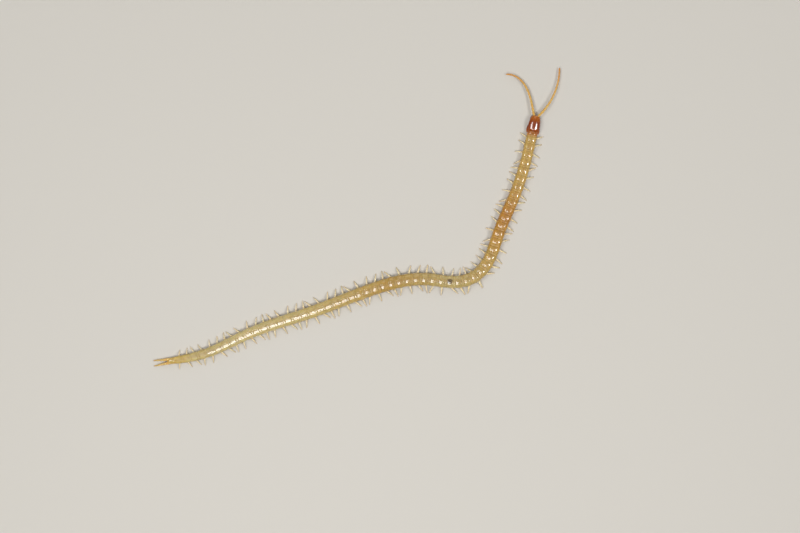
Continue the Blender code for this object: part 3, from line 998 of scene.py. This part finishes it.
def leg_placing(along, side, turn):
    """Lays a straight leg out from the body's side, arched, swung by a turn and sized for the place."""
    wide = float(body_size(along)) * HALF
    size = SMALLEST_LEG + (1 - SMALLEST_LEG) * wide / max(w for _, w in HALF_WIDTHS)
    out, up = np.array(LEG_LINE).T
    out = wide + out * LEG_REACH * size
    hip = wide * LEG_HIP
    swung = np.maximum(out - hip, 0)
    left = side * (np.minimum(out, hip) + swung * math.cos(turn))
    line = smooth_line(np.column_stack([left, along + swung * math.sin(turn), up * size]))

    def placing(points):
        bent = bend(points * np.array([1, size, size]), LEG_LENGTH, line)
        return route.lay(bent), points[:, 0] / LEG_LENGTH, np.arctan2(points[:, 1], points[:, 2])

    return placing


def make_legs():
    draw = random.Random(SEED)
    both = {name: [] for name in SIDES}
    for k in range(PAIRS_OF_LEGS - 1):
        for name, side in SIDES.items():
            turn = swing(k, WAVES[name], draw)
            both[name].append(leg_placing((ENDS[k + 1] + ENDS[k + 2]) / 2, side, turn))
    for name, placings in both.items():
        leg = rod("leg", jointed(LEG_ARTICLES, LEG_LENGTH), LEG_SIDES)
        lay_out(leg, f"legs_{name}", placings, "leg", "leg")
        hairs = limb_hairs("leg_hair", LEG_ARTICLES[2:], 3, draw)
        lay_out(hairs, f"leg_hairs_{name}", placings, "hair", "leg")


def last_leg_line(side):
    """The middle line of a last leg, which trails behind."""
    steps = len(LAST_LEG_LINE) - 1
    start = TRUNK_END - LAST_LEG_START
    return [
        (side * (left - LAST_LEG_SHIFT * (k / steps) ** 2), start + LAST_LEG_LENGTH * k / steps, up)
        for k, (left, up) in enumerate(LAST_LEG_LINE)]


def make_hind_part():
    draw = random.Random(SEED + 1)
    for name, side in SIDES.items():
        placing = on_curve(last_leg_line(side), LAST_LEG_LENGTH)
        leg = rod("last_leg", jointed(LAST_LEG_ARTICLES, LAST_LEG_LENGTH), LEG_SIDES)
        lay_out(leg, f"last_leg_{name}_articles", [placing], "last_leg", "leg", f"last_leg_{name}")
        hairs = limb_hairs("hair", LAST_LEG_ARTICLES, 9, draw)
        lay_out(hairs, f"last_leg_{name}_hairs", [placing], "hair", "leg")
        rump = hull("rump", RUMP_RINGS)
        shift(rump, side * RUMP_LEFT)
        lay_out(round_off(rump), f"rump_{name}", [in_body()], "belly", "trunk")
    end = round_off(hull("hind_end", HIND_RINGS))
    lay_out(end, "hind_end_valves", [in_body()], "belly", "trunk", "hind_end")


# The feelers.

def feeler_line(side, turn):
    """The feeler's middle line, which starts in the head's front and turns as it goes."""
    at_root, at_tip, lateness = turn
    share = (np.arange(FEELER_STEPS) + 0.5) / FEELER_STEPS
    angle = np.radians(at_root + (at_tip - at_root) * share**lateness)
    ahead = -route.backwards(np.array([0.0]))[0]
    heading = math.atan2(ahead[1], ahead[0]) + angle
    run = FEELER_LENGTH / FEELER_STEPS
    flat = np.cumsum(np.column_stack([np.cos(heading), np.sin(heading)]) * run, axis=0)
    start = route.lay(np.array([[side * FEELER_LEFT, FEELER_START, 0.0]]))[0]
    flat = np.vstack([[0, 0], flat]) + start[:2]
    up = np.linspace(FEELER_ROOT_UP, FEELER_TIP_UP, FEELER_STEPS + 1)
    return np.column_stack([flat, up])


def feeler_placing(line):
    def placing(points):
        return bend(points, FEELER_LENGTH, line), points[:, 0] / FEELER_LENGTH, points[:, 1]

    return placing


def feeler_articles():
    """Each article's far end and its radius."""
    run = FEELER_LENGTH / FEELER_ARTICLES
    taper = (FEELER_TIP_RADIUS - FEELER_RADIUS) / (FEELER_ARTICLES - 1)
    return [(run * (k + 1), FEELER_RADIUS + taper * k) for k in range(FEELER_ARTICLES)]


def straight_feeler():
    """Articles that widen towards their ends, each sunk a little into the next."""
    stations = []
    run = FEELER_LENGTH / FEELER_ARTICLES
    for end, radius in feeler_articles():
        shape = LAST_FEELER_ARTICLE if near(end, FEELER_LENGTH) else FEELER_ARTICLE
        stations += [(end - run + share * run, radius * size) for share, size in shape]
    return rod("feeler", stations, FEELER_SIDES)


def make_feelers():
    draw = random.Random(SEED + 2)
    for name, side in SIDES.items():
        placing = feeler_placing(feeler_line(side, FEELER_TURNS[name]))
        articles = f"feeler_{name}_articles"
        lay_out(straight_feeler(), articles, [placing], "feeler", "feeler", f"feeler_{name}")
        hairs = limb_hairs("feeler_hair", feeler_articles(), 9, draw)
        lay_out(hairs, f"feeler_{name}_hairs", [placing], "hair", "feeler")


# The head.

def head_plate():
    """The head's shield: domed, with a furrow across behind the feelers and two short ones at the rear."""
    rows = len(HEAD_SHAPE) - 1
    plate = sheet("head_plate", 1, 0, rows, HEAD_COLUMNS, rows)
    with editing(plate):
        for k in range(HEAD_COLUMNS + 1):
            share = 2 * k / HEAD_COLUMNS - 1
            move(lambda p: near(p.x, share), z=-HEAD_FALL[abs(k - HEAD_COLUMNS // 2)])
        move(lambda p: near(p.y, CROSS_FURROW_ROW), z=-CROSS_FURROW_DEPTH)
        for k, (along, wide, top) in reversed(list(enumerate(HEAD_SHAPE))):
            pick(lambda p: near(p.y, k) and p.z < 0.5)
            flatter = HEAD_END_NARROWING if k in (0, rows) else 1
            bpy.ops.transform.resize(value=(wide, 1, flatter), center_override=(0, k, 0))
            bpy.ops.transform.translate(value=(0, along - k, top))
        for place in (-REAR_FURROW_LEFT, REAR_FURROW_LEFT):
            move(lambda p: near(p.x, place, REAR_FURROW_WIDTH) and REAR_FURROW_FRONT < p.y < REAR_FURROW_REAR,
                 z=-REAR_FURROW_DEPTH)
    modify(plate, "SOLIDIFY", thickness=HEAD_PLATE_THICKNESS, offset=-1)
    return round_off(plate, 2)


def sockets():
    """The soft rings in which the feelers stand."""
    made = []
    for side in SIDES.values():
        place = (side * SOCKET_LEFT, SOCKET_ALONG, SOCKET_UP)
        made.append(ring(SOCKET_RADIUS, SOCKET_RIM, 20, 8, place, (math.pi / 2, 0, side * SOCKET_TURN)))
    return join(made, "sockets")


def maxillae():
    """The lower mouthparts: a joined base and two short jointed palps on each side."""
    made = [round_off(hull("maxillae", MAXILLA_RINGS))]
    for side in SIDES.values():
        for left, high, radius, front in PALPS:
            rings = [(front + y, radius * share, high - tall, high + tall) for y, share, tall in PALP_RINGS]
            palp = hull("palp", rings, PALP_SIDES)
            shift(palp, side * left)
            made.append(round_off(palp))
    return join(made, "maxillae")


def claw_plate():
    """The broad plate that carries the poison claws, with a notch and a seam in its middle."""
    plate = hull("claw_plate", CLAW_PLATE_RINGS, CLAW_PLATE_SIDES)
    with editing(plate):
        move(lambda p: abs(p.x) < NOTCH_HALF and p.y < NOTCH_FRONT, y=NOTCH_DEPTH)
        pick(lambda p: near(p.x, 0) and p.z < SEAM_UP and p.y < SEAM_REAR, "EDGE")
        bpy.ops.mesh.bevel(offset=SEAM_WIDTH, offset_type="OFFSET", segments=2, affect="EDGES")
        move(lambda p: near(p.x, 0) and p.z < SEAM_UP and p.y < SEAM_REAR + 0.05, z=SEAM_DEPTH)
    return round_off(plate, 2)


def head_hairs(draw):
    """Sparse hairs on the head's shield, leaning forwards and out."""
    roots = []
    places, widths, tops = zip(*HEAD_SHAPE)
    for along, count in HEAD_HAIR_ROWS:
        wide, top = np.interp(along, places, widths), np.interp(along, places, tops)
        for k in range(count):
            share = ((k + 0.5) / count * 2 - 1) * 0.85 + draw.uniform(-0.05, 0.05)
            fall = np.interp(abs(share), np.linspace(0, 1, len(HEAD_FALL)), HEAD_FALL)
            place = (share * wide, along, top - fall - 0.01)
            roots.append((place, (share, -0.8, 0.9), draw.uniform(*LIMB_HAIR)))
    return bristles("head_hairs", roots)


def make_head():
    at_head = [in_body(NECK_START)]
    lay_out(head_plate(), "head_plate", at_head, "head", "head", "head")
    for name, rings in (("head_capsule", CAPSULE_RINGS), ("upper_lip", LIP_RINGS)):
        lay_out(round_off(hull(name, rings)), name, at_head, "head", "head", "head")
    lay_out(sockets(), "feeler_sockets", at_head, "socket", "head")
    lay_out(maxillae(), "maxillae", at_head, "mouth", "head", "head")
    lay_out(claw_plate(), "claw_plate", at_head, "head", "claw", "claw_segment")
    for name, side in SIDES.items():
        line = [(side * left, along, up) for along, left, up in CLAW_LINE]
        placing = on_curve(line, 1.0, CLAW_FLATNESS)
        claw = rod("claw", CLAW_STATIONS, CLAW_SIDES)
        lay_out(claw, f"poison_claw_{name}_articles", [placing], "claw", "claw", f"poison_claw_{name}")
    lay_out(head_hairs(random.Random(SEED + 3)), "head_hairs", at_head, "hair", "head")


# The studio.

def make_stage():
    bpy.ops.mesh.primitive_plane_add(size=FLOOR_WIDTH, location=(0, 0, 0))
    floor = bpy.context.object
    floor.name = "floor"
    material = bpy.data.materials.new("floor")
    material.use_nodes = True
    shader = material.node_tree.nodes["Principled BSDF"]
    shader.inputs["Base Color"].default_value = linear(FLOOR_COLOUR)
    shader.inputs["Roughness"].default_value = FLOOR_ROUGHNESS
    floor.data.materials.append(material)


def make_lights():
    world = bpy.data.worlds.new("studio")
    world.use_nodes = True
    surround = world.node_tree.nodes["Background"]
    surround.inputs["Color"].default_value = SURROUND_COLOUR
    surround.inputs["Strength"].default_value = SURROUND_STRENGTH
    bpy.context.scene.world = world
    for name, (place, power, wide, deep) in LAMPS.items():
        lamp = bpy.data.lights.new(name, "AREA")
        lamp.energy = power
        lamp.shape = "RECTANGLE"
        lamp.size = wide
        lamp.size_y = deep
        light = bpy.data.objects.new(name, lamp)
        light.location = Vector(place) * METRES
        light.rotation_euler = (Vector(LAMP_TARGET) - light.location).to_track_quat("-Z", "Y").to_euler()
        bpy.context.scene.collection.objects.link(light)


def make_camera():
    lens = bpy.data.cameras.new("camera")
    lens.lens = LENS
    lens.sensor_width = FILM_WIDTH
    lens.clip_start = NEAREST
    camera = bpy.data.objects.new("camera", lens)
    x = (PHOTO_WIDTH / 2 - PHOTO_ORIGIN[0]) * PIXELS_TO_MM * METRES
    y = (PHOTO_ORIGIN[1] - PHOTO_HEIGHT / 2) * PIXELS_TO_MM * METRES
    distance = PHOTO_WIDTH * PIXELS_TO_MM * METRES / FILM_WIDTH * LENS
    camera.location = (x, y, distance)
    bpy.context.scene.collection.objects.link(camera)
    bpy.context.scene.camera = camera


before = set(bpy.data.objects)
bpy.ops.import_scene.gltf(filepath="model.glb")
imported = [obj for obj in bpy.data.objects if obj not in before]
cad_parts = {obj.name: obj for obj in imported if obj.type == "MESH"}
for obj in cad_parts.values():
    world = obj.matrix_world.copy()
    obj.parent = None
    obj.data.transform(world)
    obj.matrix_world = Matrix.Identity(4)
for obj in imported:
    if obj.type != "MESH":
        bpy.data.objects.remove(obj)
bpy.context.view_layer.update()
bpy.ops.object.select_all(action="DESELECT")
finishes = make_finishes()
make_trunk()
make_legs()
make_hind_part()
make_feelers()
make_head()
make_stage()
make_lights()
make_camera()
bpy.context.scene.view_settings.view_transform = "Standard"
